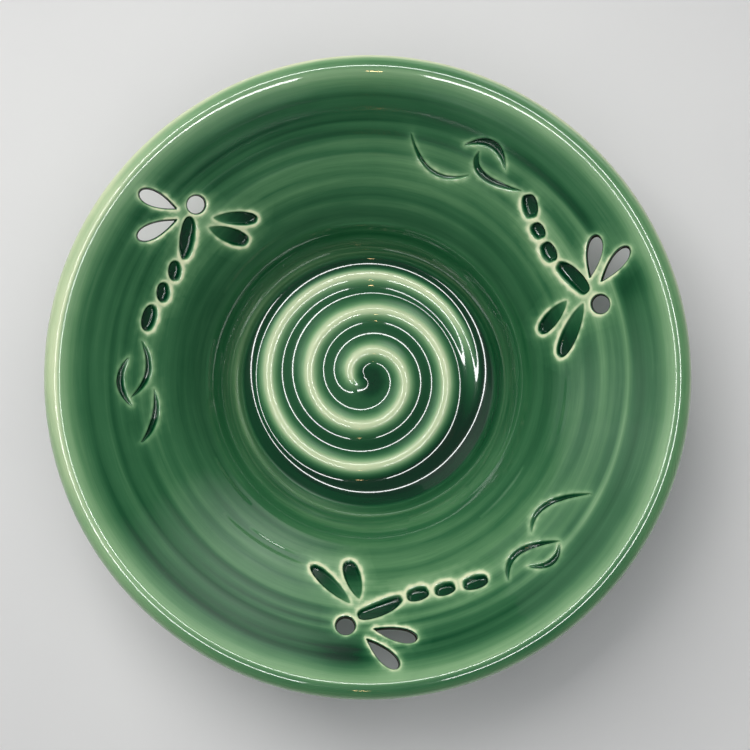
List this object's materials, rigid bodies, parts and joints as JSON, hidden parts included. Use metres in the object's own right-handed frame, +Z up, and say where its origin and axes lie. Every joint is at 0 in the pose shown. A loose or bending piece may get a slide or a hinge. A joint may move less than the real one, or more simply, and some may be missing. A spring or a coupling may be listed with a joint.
{
  "type": "flower frog dish",
  "caption": "Wheel-thrown glazed stoneware dish with a spiral floor, flared wall and pierced dragonfly stem holes.",
  "frame": {"origin": "centre of the foot ring's resting plane, on the bowl's axis", "axes": "+Z up along the bowl's axis; +X and +Y across it, with the dragonfly heads at 135.5, 16.5 and 265 degrees from +X towards +Y"},
  "size_m": [0.25, 0.25, 0.067],
  "materials": {
    "bare_clay": "bare turned stoneware, matt",
    "floor_glaze": "deep green transparent glaze, pooled, gloss",
    "ridge_glaze": "green glaze breaking to cream on the ridge, gloss",
    "wall_glaze": "green transparent glaze over throwing rings, gloss",
    "rim_glaze": "thin pale green glaze, gloss"
  },
  "bodies": {
    "root": {"foot_ring": "bare_clay", "well_floor": "floor_glaze", "spiral_ridge": "ridge_glaze", "pierced_wall": "wall_glaze", "rolled_rim": "rim_glaze"}
  },
  "joints": []
}
